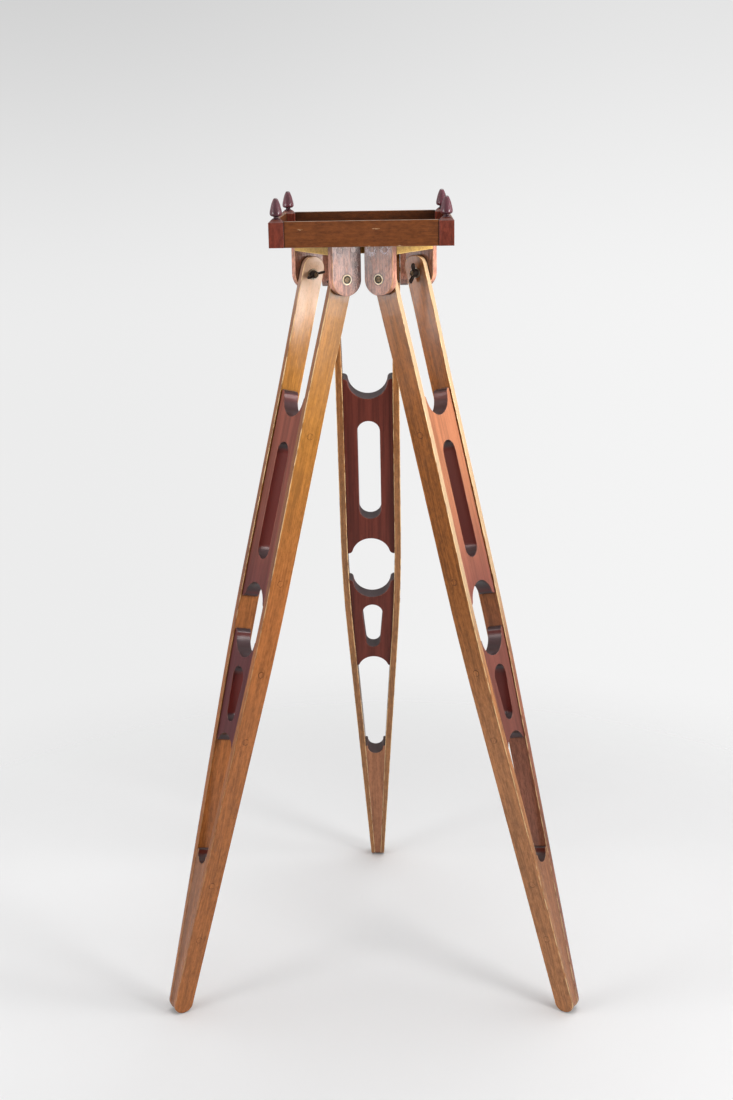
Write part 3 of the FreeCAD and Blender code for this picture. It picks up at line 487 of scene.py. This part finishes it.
    def lay_dirt_and_shade(self):
        # Painted shade in large hollows, and dirt with painted shade deep in corners and recesses.
        grime_and_shade = self.wood["grime_and_shade"]
        if "hollow_shade" in self.wood:
            self.lay(self.smooth(self.crevice(HOLLOW_SHADE_REACH), 0.12, 0.45), self.wood["hollow_shade"], grime_and_shade)
        self.lay(self.smooth(self.crevice(CORNER_SHADE_REACH), 0.20, 0.52), DIRT_AND_SHADE_STRENGTH, grime_and_shade)

    def lay_seam(self, joint_at):
        """Dirt where the wood meets its neighbours, joint_at millimetres either way along the grain."""
        before, full = SEAM
        distance = self.math("ABSOLUTE", self.along)
        seam = self.smooth(distance, joint_at - before, joint_at - full)
        self.lay(seam, DIRT_AND_SHADE_STRENGTH, self.wood["grime_and_shade"])

    def lay_ring(self, centres, radius, width, number):
        """A thin ragged dark ring round each centre, right through the board: a stained joint round a
        plug, painted shadow round a brass cup. The centres are (across, through, along) with None for
        the direction through the board."""
        nearest = 1000.0
        for centre in centres:
            flat = tuple(0.0 if part is None else 1.0 for part in centre)
            place = tuple(0.0 if part is None else part for part in centre)
            offset = self.vector("MULTIPLY", self.vector("SUBTRACT", self.where, place), flat)
            nearest = self.math("MINIMUM", self.length(offset), nearest)
        inside = self.smooth(nearest, radius - width, radius)
        outside = self.smooth(nearest, radius + width, radius)
        ragged = self.smooth(self.grain_noise(RING_GRAIN, 2.0, 0.6, 20 + number), 0.34, 0.56)
        ring = self.math("MULTIPLY", self.math("MULTIPLY", inside, outside), ragged)
        self.lay(ring, MARK_STRENGTH, self.wood["grime_and_shade"])

    def lay_spot(self, centre, size, colour, sheen, number):
        """A ragged ellipsoid of colour; sheen is the share of the varnish's gloss left in it."""
        scaled = self.vector("DIVIDE", self.vector("SUBTRACT", self.where, centre), size)
        ragged = self.math("MULTIPLY", self.grain_noise(SPOT_GRAIN, 2.0, 0.7, number), 2.6)
        mask = self.smooth(self.math("ADD", self.length(scaled), ragged), 2.3, 1.5)
        self.lay(mask, MARK_STRENGTH, colour)
        if sheen < 1:
            left = self.smooth(mask, 0.0, 1.0, 1.0, sheen)
            self.coat = self.math("MULTIPLY", self.coat, left)
            self.gloss = self.math("MULTIPLY", self.gloss, left)

    def varnished(self):
        height = self.math("SUBTRACT", self.math("MULTIPLY", self.hairs, 0.5), self.pores)
        height = self.math("ADD", height, self.math("MULTIPLY", self.mottle, 0.6))
        inputs = {
            "Base Color": self.colour,
            "Roughness": self.roughness,
            "Specular IOR Level": self.gloss,
            "Coat Weight": self.coat,
            "Coat Roughness": COAT_ROUGHNESS,
        }
        return self.finish(inputs, height, self.wood["bump"] * MM)


def wood_material(name, kind, origin, axes, seed, stain=None, lower=None, pale_top=None, bands=(),
                  low_wear=1.0, cut=False, joint_at=None, rings=(), spots=()):
    """Wood of one kind on one board; each option is explained at its lay_ method."""
    shader = WoodShader(name, kind, origin, axes, seed)
    shader.lay_stain(stain or kind, lower)
    if pale_top:
        shader.lay_pale_top(*pale_top)
    for band in bands:
        shader.lay_band(*band)
    if cut:
        shader.lay_cut_walls()
    shader.lay_grain()
    shader.lay_wear_and_highlight(low_wear)
    if cut:
        shader.lay_cut_edges()
    shader.lay_dirt_and_shade()
    if joint_at:
        shader.lay_seam(joint_at)
    for number, ring in enumerate(rings):
        shader.lay_ring(*ring, number)
    for number, spot in enumerate(spots):
        shader.lay_spot(*spot, number)
    return shader.varnished()


# ---------------------------------------------------------------- metals


# Each metal: its colour, dull patches and bright rubbed edges; its roughness and how metallic it is; the
# depth of its pits in millimetres; and its seed.
METALS = {
    "old_brass": {
        "base": tint(255, 240, 214), "dull": tint(232, 204, 164), "bright": tint(255, 250, 236),
        "roughness": 0.40, "metallic": 0.55, "pits": 0.04, "seed": 5.0,
    },
    "dark_steel": {
        "base": tint(104, 86, 66), "dull": tint(52, 42, 32), "bright": tint(216, 200, 172),
        "roughness": 0.40, "metallic": 0.8, "pits": 0.06, "seed": 6.0,
    },
    "plain_steel": {
        "base": tint(150, 147, 142), "dull": tint(112, 100, 88), "bright": tint(206, 204, 200),
        "roughness": 0.38, "metallic": 1.0, "pits": 0.04, "seed": 7.0,
    },
    "black_iron": {
        "base": tint(34, 31, 30), "dull": tint(46, 34, 28), "bright": tint(120, 112, 104),
        "roughness": 0.46, "metallic": 0.6, "pits": 0.14, "seed": 8.0,
    },
    "washer_steel": {
        "base": tint(186, 178, 160), "dull": tint(140, 124, 104), "bright": tint(230, 224, 212),
        "roughness": 0.42, "metallic": 0.8, "pits": 0.05, "seed": 9.0,
    },
}
METAL_PATCH = (3.5, 3.5, 3.5)    # millimetres
METAL_PIT = (0.7, 0.7, 0.7)
METAL_EDGE_REACH = 0.5 * MM
METAL_DIRT_REACH = 1.8 * MM
# soot in the metals' corners, and painted shade in the gap round the screw heads
SOOT_AND_SHADE = tint(26, 20, 15)
SCREW_GAP_SHADE = (4.9, 6.6)           # radii of the painted shade in the gap between a screw's head and its cup
SCREW_GAP_SHADE_FADE = 0.6


def pivot_distance(shader, where):
    """Distance in millimetres from the nearest leg's pivot axis."""
    nearest = 1000.0
    for leg in LEGS:
        joint = JOINTS[leg + "_leg_swing"]
        offset = shader.vector("SUBTRACT", where, tuple(Vector(joint["pos_m"]) / MM))
        sideways = shader.length(shader.vector("CROSS_PRODUCT", offset, tuple(joint["axis"])))
        nearest = shader.math("MINIMUM", sideways, nearest)
    return nearest


def metal_material(name, shaded_gap=False):
    """Old metal with dull patches, bright rubbed edges, pits, and dirt in the corners. The last option
    is
    for cups and screw heads: painted shade, near black, in the gap where they meet."""
    metal = METALS[name]
    shader = Shader(name)
    coords = shader.add("ShaderNodeTexCoord")
    where = shader.scaled(coords.outputs["Object"], 1 / MM)
    patches = shader.noise(where, METAL_PATCH, 4.0, 0.65, metal["seed"])
    pits = shader.noise(where, METAL_PIT, 3.0, 0.6, metal["seed"] + 1)
    colour = shader.mix(shader.smooth(patches, 0.42, 0.62), metal["base"], metal["dull"])
    edges = shader.turning(METAL_EDGE_REACH, 0.99, 0.90)
    edges = shader.math("MULTIPLY", edges, shader.smooth(pits, 0.35, 0.55))
    colour = shader.painted(colour, edges, 0.8, metal["bright"])
    if shaded_gap:
        radius = pivot_distance(shader, where)
        inner, outer = SCREW_GAP_SHADE
        inside = shader.smooth(radius, inner - SCREW_GAP_SHADE_FADE, inner)
        outside = shader.smooth(radius, outer + SCREW_GAP_SHADE_FADE, outer)
        colour = shader.painted(colour, shader.math("MULTIPLY", inside, outside), 0.92, SOOT_AND_SHADE)
    dirt = shader.smooth(shader.crevice(METAL_DIRT_REACH), 0.30, 0.60)
    colour = shader.painted(colour, dirt, 0.8, SOOT_AND_SHADE)
    polished, dull = metal["roughness"] - 0.08, metal["roughness"] + 0.15
    roughness = shader.smooth(patches, 0.35, 0.7, polished, dull)
    inputs = {"Base Color": colour, "Metallic": metal["metallic"], "Roughness": roughness}
    height = shader.weighted([(pits, 0.6), (patches, 0.6)])
    return shader.finish(inputs, height, metal["pits"] * MM)


# ---------------------------------------------------------------- dressing the CAD nodes


PLUG_EDGE = 5.5                  # radius of the dark stain round each plug, in millimetres
CUP_EDGE = 10.1                  # and of the painted shadow round each brass cup
PLUG_STAIN_WIDTH = 0.9
CUP_SHADOW_WIDTH = 1.5
POST_FACE = 127.5                # from the middle of a gallery rail to the face of a corner post

# Each leg: its rails' and webs' stains, the stains they turn to lower down as (where that starts, where
# it ends, stain), bands on the rails' outward edges, and the share of the wear and painted edge
# highlight left towards the foot. The left leg's band is painted shade and the right leg's band painted
# highlight; the right leg's webs are a lit copy of the web colour that turns to painted shade lower
# down.
LEG_LOOKS = {
    "rear": {
        "rails": "rear_rail", "lower_rails": (-200, -620, "rear_rail_foot"),
        "webs": "web", "lower_webs": None,
        "bands": [], "low_wear": 1.0,
    },
    "left": {
        "rails": "rail", "lower_rails": (-200, -620, "left_rail_foot"),
        "webs": "left_web", "lower_webs": (-400, -650, "left_web_foot"),
        # painted shade on the outward edges, which face away from the light
        "bands": [(200, -640, tint(92, 54, 42))], "low_wear": 0.3,
    },
    "right": {
        "rails": "right_rail", "lower_rails": (-450, -900, "right_rail_foot"),
        # a lit copy of the web colour, turning to painted shade lower down where the light falls off
        "webs": "right_web_lit", "lower_webs": (-330, -600, "right_web_foot_shade"),
        # painted highlight on the outward edges, which face the light
        "bands": [(200, -640, tint(180, 156, 124))], "low_wear": 1.0,
    },
}
# A board that turns darker lower down than its neighbours, as painted shade.
LOWER_ONE_RAIL = {"right_leg_back_rail": (-450, -800, "right_back_rail_foot_shade")}
PAINTED_SHEEN_TOPS = {                    # painted sheen: its strength near the pivot, and where, going down, it ends
    "left_leg_back_rail": (0.75, -95.0),
    "left_leg_front_rail": (0.17, -230.0),
    "right_leg_front_rail": (0.12, -230.0),
}
PAINTED_SHEEN_TOP_USUAL = (0.08, -95.0)
GALLERY_BANDS = [(400, -400, tint(120, 98, 80))]

# Marks, painted shade and painted glints on single boards, as (centre, size, colour, share of the gloss
# left), in the board's grain frame.
PALE_CHIP = tint(190, 150, 112)
DARK_FLECK = tint(40, 20, 12)
# painted shade: a dark, dull patch on the inner side of one cheek, where its varnish shows no reflection
PAINTED_SHADE_PATCH = tint(62, 30, 30)
# painted glints on the varnish near the top of one cheek
PAINTED_GLINT = tint(244, 226, 236)
THROUGH = 400                    # a size that takes a mark right through the board
SPOTS = {
    "gallery_rail_front": [
        ((-151.0, 21.0, -101.0), (6, 1.2, 4.5), PALE_CHIP, 1.0),
        ((-151.0, 21.0, 24.0), (6, 1.1, 8.0), PALE_CHIP, 1.0),
        ((-151.0, -7.0, 12.0), (6, 1.2, 3.0), PALE_CHIP, 1.0),
        ((-151.0, -7.0, 63.0), (6, 1.4, 4.0), PALE_CHIP, 1.0),
    ],
    "left_leg_back_rail": [((0.0, 0.0, -92.0), (60, 1.6, 4.5), DARK_FLECK, 1.0)],
    "cheek_left_front": [((27.0, 0.0, 30.0), (18, THROUGH, 110), PAINTED_SHADE_PATCH, 0.1)],
    "cheek_right_front": [
        ((15.0, 0.0, 47.0), (12, THROUGH, 11), PAINTED_GLINT, 1.0),
        ((-13.0, 0.0, 49.0), (10, THROUGH, 9), PAINTED_GLINT, 1.0),
    ],
}

UPRIGHT = grain_axes(UP, Vector((0, 1, 0)))
LEVEL_X = grain_axes(Vector((1, 0, 0)), UP)
LEVEL_Y = grain_axes(Vector((0, 1, 0)), UP)


def dress(node, material):
    """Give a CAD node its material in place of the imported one."""
    mesh = frame["nodes"][node].data
    mesh.materials.clear()
    mesh.materials.append(material)


def dress_wood(node, kind, origin, axes, seed, **options):
    """A board's own wood, with the marks that are listed for it."""
    spots = SPOTS.get(node, ())
    dress(node, wood_material(node, kind, origin, axes, seed, spots=spots, **options))


def node_middle(node):
    low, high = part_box(node)
    return (Vector(low) + Vector(high)) / 2


def dress_leg(leg, number):
    looks = LEG_LOOKS[leg]
    pivot, axes = leg_grain(leg)
    prefix = leg + "_leg_"
    plugs = [in_grain(place, pivot, axes) for place in separate_solids(prefix + "rail_plugs")]
    for i, side in enumerate(LEGS[leg]):
        node = prefix + side + "_rail"
        hand = in_grain(node_middle(node), pivot, axes).x
        own_plugs = [(None, plug.y, plug.z) for plug in plugs if plug.x * hand > 0]
        dress_wood(
            node, "rail", pivot, axes, 3.0 + 7 * number + 3 * i, stain=looks["rails"],
            lower=LOWER_ONE_RAIL.get(node, looks["lower_rails"]),
            pale_top=PAINTED_SHEEN_TOPS.get(node, PAINTED_SHEEN_TOP_USUAL), bands=looks["bands"],
            low_wear=looks["low_wear"], rings=[(own_plugs, PLUG_EDGE, PLUG_STAIN_WIDTH)]
        )
    for i, part in enumerate(("upper_web", "lower_web")):
        dress_wood(
            prefix + part, "web", pivot, axes, 31.0 + 5 * number + 2 * i, stain=looks["webs"],
            lower=looks["lower_webs"], cut=True
        )
    dress_wood(prefix + "foot_block", "foot", pivot, axes, 51.0 + number, cut=True)
    dress_wood(
        prefix + "rail_plugs", "rail_plug", pivot, axes, 61.0 + number, stain=looks["rails"],
        lower=looks["lower_rails"]
    )
    dress(prefix + "rail_screws", STEEL)


def dress_tray():
    dress_wood("tray_floor", "floor_board", CENTRE, LEVEL_X, 71.0)
    for i, side in enumerate(("front", "back", "left", "right")):
        axes = LEVEL_X if side in ("front", "back") else LEVEL_Y
        dress_wood(
            "gallery_rail_" + side, "gallery", CENTRE, axes, 73.0 + i, bands=GALLERY_BANDS,
            joint_at=POST_FACE
        )
    for i, corner in enumerate(CORNERS):
        dress_wood("corner_post_" + corner, "post", CENTRE, UPRIGHT, 81.0 + i)
        dress_wood("finial_" + corner, "finial", CENTRE, UPRIGHT, 87.0 + i)


def dress_cheeks(leg, number, plugs):
    joint = JOINTS[leg + "_leg_swing"]
    pivot = Vector(joint["pos_m"])
    axes = grain_axes(UP, Vector(joint["axis"]))
    for i, side in enumerate(LEGS[leg]):
        node = "cheek_" + leg + "_" + side
        middle = node_middle(node)
        own_plugs = sorted(plugs, key=lambda place: (place - middle).length)[:2]
        own_plugs = [in_grain(place, pivot, axes) for place in own_plugs]
        rings = [
            # a ring of painted shadow round the cup, and stained joints round the plugs
            ([(0.0, None, 0.0)], CUP_EDGE, CUP_SHADOW_WIDTH),
            ([(place.x, None, place.z) for place in own_plugs], PLUG_EDGE, PLUG_STAIN_WIDTH),
        ]
        dress_wood(node, "cheek", pivot, axes, 101.0 + 2 * number + i, rings=rings)
        dress("wing_nut_" + leg + "_" + side, IRON)


def dress_head():
    dress_wood("head_block", "head", CENTRE, LEVEL_X, 93.0)
    plugs = separate_solids("cheek_plugs")
    for number, leg in enumerate(LEGS):
        dress_cheeks(leg, number, plugs)
    dress_wood("cheek_plugs", "cheek_plug", CENTRE, UPRIGHT, 111.0)
    dress("cup_washers", BRASS)
    dress("pivot_screws", DARK_STEEL)
    dress("pivot_washers", WASHER_STEEL)
    dress("cheek_screws", STEEL)
    dress("tray_screws", STEEL)


BRASS = metal_material("old_brass", shaded_gap=True)
DARK_STEEL = metal_material("dark_steel", shaded_gap=True)
WASHER_STEEL = metal_material("washer_steel")
STEEL = metal_material("plain_steel")
IRON = metal_material("black_iron")
for leg_number, leg_name in enumerate(LEGS):
    dress_leg(leg_name, leg_number)
dress_tray()
dress_head()


# ---------------------------------------------------------------- studio


FLOOR_RADIUS = 3.0
FLOOR_GAP = 0.2 * MM             # the floor lies this far below the feet
FLOOR_FADE = (0.65, 1.7)         # the floor melts into the backdrop between these radii
FLOOR_PAINT = (0.86, 0.86, 0.863, 1.0)
# What the camera sees behind the object: (left, right) greys, low down and high up.
BACKDROP_LOW = (0.84, 0.905)
BACKDROP_HIGH = (0.60, 0.74)
BACKDROP_HEIGHTS = (-0.13, 0.17)     # where low ends and high begins, as parts of a unit direction
BACKDROP_SIDES = (-0.24, 0.22)
# The light that comes from all round, what the sides and the top add to it, and between which parts
# of a unit direction that sets in.
LIGHT_ALL_ROUND = 0.20
LIGHT_SIDES = 0.30
LIGHT_SIDES_FROM = (0.35, 0.95)
LIGHT_ABOVE = 0.30
LIGHT_ABOVE_FROM = (0.0, 0.9)
WHITE = (1, 1, 1, 1)


def make_floor():
    mesh = bpy.data.meshes.new("studio_floor")
    shape = bmesh.new()
    bmesh.ops.create_circle(shape, cap_ends=True, segments=96, radius=FLOOR_RADIUS)
    shape.to_mesh(mesh)
    shape.free()
    floor = bpy.data.objects.new("studio_floor", mesh)
    floor.location = (0, 0, FLOOR_Z - FLOOR_GAP)
    bpy.context.scene.collection.objects.link(floor)

    shader = Shader("studio_floor")
    coords = shader.add("ShaderNodeTexCoord").outputs["Object"]
    paint = shader.add("ShaderNodeBsdfDiffuse", {"Color": FLOOR_PAINT})
    clear = shader.add("ShaderNodeBsdfTransparent")
    fade = shader.smooth(shader.length(coords), *FLOOR_FADE)
    blend = shader.add("ShaderNodeMixShader", {0: fade, 1: paint.outputs[0], 2: clear.outputs[0]})
    shader.add("ShaderNodeOutputMaterial", {"Surface": blend.outputs[0]})
    mesh.materials.append(shader.material)


class WorldShader(Shader):
    """The same node helpers, on the world's tree."""

    def __init__(self):
        world = bpy.data.worlds.new("studio")
        bpy.context.scene.world = world
        world.use_nodes = True
        self.tree = world.node_tree
        self.tree.nodes.clear()

    def between(self, share, pair):
        """A value running between a pair of numbers as the share goes from 0 to 1."""
        low, high = pair
        return self.math("ADD", self.math("MULTIPLY", share, high - low), low)


def make_world():
    """Soft light, dimmer from front and back; the camera sees a backdrop that darkens upwards."""
    shader = WorldShader()
    direction = shader.add("ShaderNodeTexCoord").outputs["Generated"]
    split = shader.add("ShaderNodeSeparateXYZ", {"Vector": direction})
    high = shader.smooth(split.outputs["Z"], *BACKDROP_HEIGHTS)
    right = shader.smooth(split.outputs["X"], *BACKDROP_SIDES)
    low_grey = shader.between(right, BACKDROP_LOW)
    high_grey = shader.between(right, BACKDROP_HIGH)
    darker = shader.math("MULTIPLY", high, shader.math("SUBTRACT", high_grey, low_grey))
    grey = shader.math("ADD", low_grey, darker)
    seen = shader.add("ShaderNodeBackground", {"Color": WHITE, "Strength": grey})

    sides = shader.smooth(shader.math("ABSOLUTE", split.outputs["X"]), *LIGHT_SIDES_FROM)
    above = shader.smooth(split.outputs["Z"], *LIGHT_ABOVE_FROM)
    light = shader.weighted([(sides, LIGHT_SIDES), (above, LIGHT_ABOVE)])
    light = shader.math("ADD", light, LIGHT_ALL_ROUND)
    lit = shader.add("ShaderNodeBackground", {"Color": WHITE, "Strength": light})
    path = shader.add("ShaderNodeLightPath").outputs["Is Camera Ray"]
    blend = shader.add("ShaderNodeMixShader", {0: path, 1: lit.outputs[0], 2: seen.outputs[0]})
    shader.add("ShaderNodeOutputWorld", {"Surface": blend.outputs[0]})


def softbox(name, place, aim, size, watts, beam=180, mirrored=True):
    """A rectangular light, size wide and high; beam is the angle in degrees that its light fills, and
    mirrored says whether it shows in the sheen of the varnish."""
    data = bpy.data.lights.new(name, "AREA")
    data.shape = "RECTANGLE"
    data.size, data.size_y = size
    data.energy = watts
    data.spread = math.radians(beam)
    light = bpy.data.objects.new(name, data)
    light.location = place
    light.rotation_euler = (Vector(aim) - Vector(place)).to_track_quat("-Z", "Y").to_euler()
    light.visible_camera = False
    light.visible_glossy = mirrored
    bpy.context.scene.collection.objects.link(light)


HEAD = (0.0, 0.0, -0.15)         # what the lights aim at
MIDDLE = (0.0, 0.0, -0.5)
SIDE_BOX = (0.7, 0.8)            # the lights' sizes
TOP_BOX = (1.8, 1.8)
WINDOW_BEAM = 66
make_floor()
make_world()
softbox("right_window", (1.40, -0.25, 0.20), HEAD, SIDE_BOX, 6.8, WINDOW_BEAM, mirrored=False)
softbox("right_front_box", (1.85, -1.42, 0.04), HEAD, SIDE_BOX, 22.0)
softbox("left_window", (-1.40, -0.30, 0.20), HEAD, SIDE_BOX, 3.1, WINDOW_BEAM, mirrored=False)
softbox("left_front_box", (-1.9, -1.30, 0.0), HEAD, SIDE_BOX, 11.0)
softbox("top_box", (0.35, 0.3, 1.9), MIDDLE, TOP_BOX, 34.0)


# ---------------------------------------------------------------- camera


CAMERA_PLACE = Vector((0.0622, -2.6249, 0.1775))
CAMERA_YAW = math.radians(1.445)     # turned to the left of +Y
CAMERA_PITCH = math.radians(15.86)   # looking down
CAMERA_ROLL = math.radians(0.967)    # leaning clockwise
CAMERA_LENS = 48.44                  # millimetres
CAMERA_SENSOR = 36.0                 # millimetres, along the frame's longer side


def make_camera():
    right = Vector((math.cos(CAMERA_YAW), math.sin(CAMERA_YAW), 0))
    ahead = Vector((-math.sin(CAMERA_YAW), math.cos(CAMERA_YAW), 0))
    look = ahead * math.cos(CAMERA_PITCH) - UP * math.sin(CAMERA_PITCH)
    above = ahead * math.sin(CAMERA_PITCH) + UP * math.cos(CAMERA_PITCH)
    level = right * math.cos(CAMERA_ROLL) - above * math.sin(CAMERA_ROLL)
    upright = right * math.sin(CAMERA_ROLL) + above * math.cos(CAMERA_ROLL)
    data = bpy.data.cameras.new("camera")
    data.lens = CAMERA_LENS
    data.sensor_width = CAMERA_SENSOR
    camera = bpy.data.objects.new("camera", data)
    turn = Matrix((level, upright, -look)).transposed().to_4x4()
    camera.matrix_world = Matrix.Translation(CAMERA_PLACE) @ turn
    bpy.context.scene.collection.objects.link(camera)
    bpy.context.scene.camera = camera


make_camera()
bpy.context.scene.view_settings.view_transform = "Standard"
